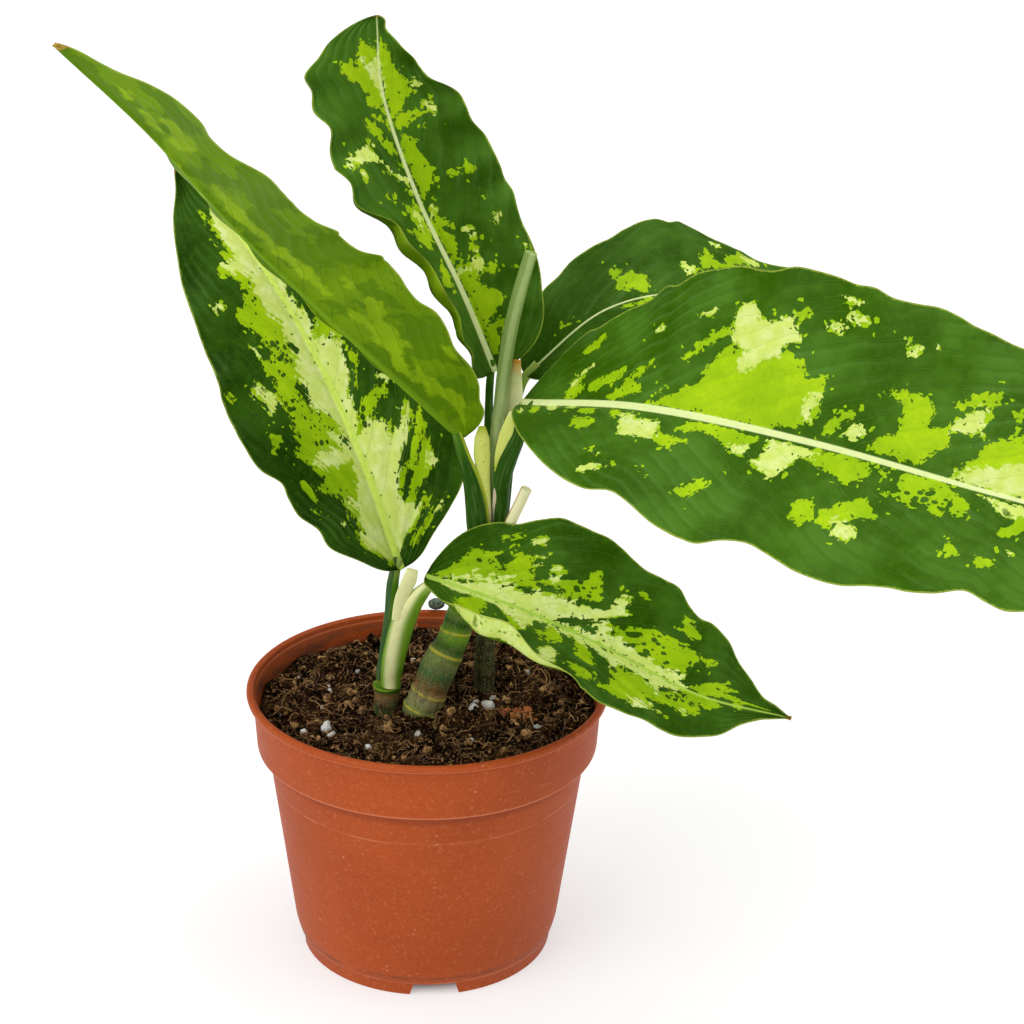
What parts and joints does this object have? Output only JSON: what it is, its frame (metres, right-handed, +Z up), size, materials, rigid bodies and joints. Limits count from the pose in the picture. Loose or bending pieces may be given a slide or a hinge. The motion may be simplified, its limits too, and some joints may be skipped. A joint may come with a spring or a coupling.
{
  "type": "potted chinese evergreen",
  "caption": "Potted Chinese evergreen: broad pointed leaves with lime and cream blotches on short ringed canes, in a round terracotta-coloured plastic nursery pot of peat.",
  "frame": {"origin": "bottom centre of the bounding box of the whole plant and pot, on the surface that the pot stands on", "axes": "+Z up along the pot's axis, +X to the right and +Y to the back as seen from the side where the large right leaf comes forward"},
  "size_m": [0.2988, 0.2264, 0.3184],
  "materials": {
    "pot": "satin",
    "soil": "matte",
    "leaf": "satin",
    "cane": "satin",
    "spear": "satin",
    "moss": "matte"
  },
  "bodies": {
    "root": {"pot": "pot", "soil": "soil", "cane_middle": "cane", "cane_left": "cane", "cane_old": "cane", "leaf_upper_left": "leaf", "leaf_left": "leaf", "leaf_top": "leaf", "leaf_back_right": "leaf", "leaf_right": "leaf", "leaf_front": "leaf", "spear": "spear", "rim_clod": "moss"}
  },
  "joints": []
}
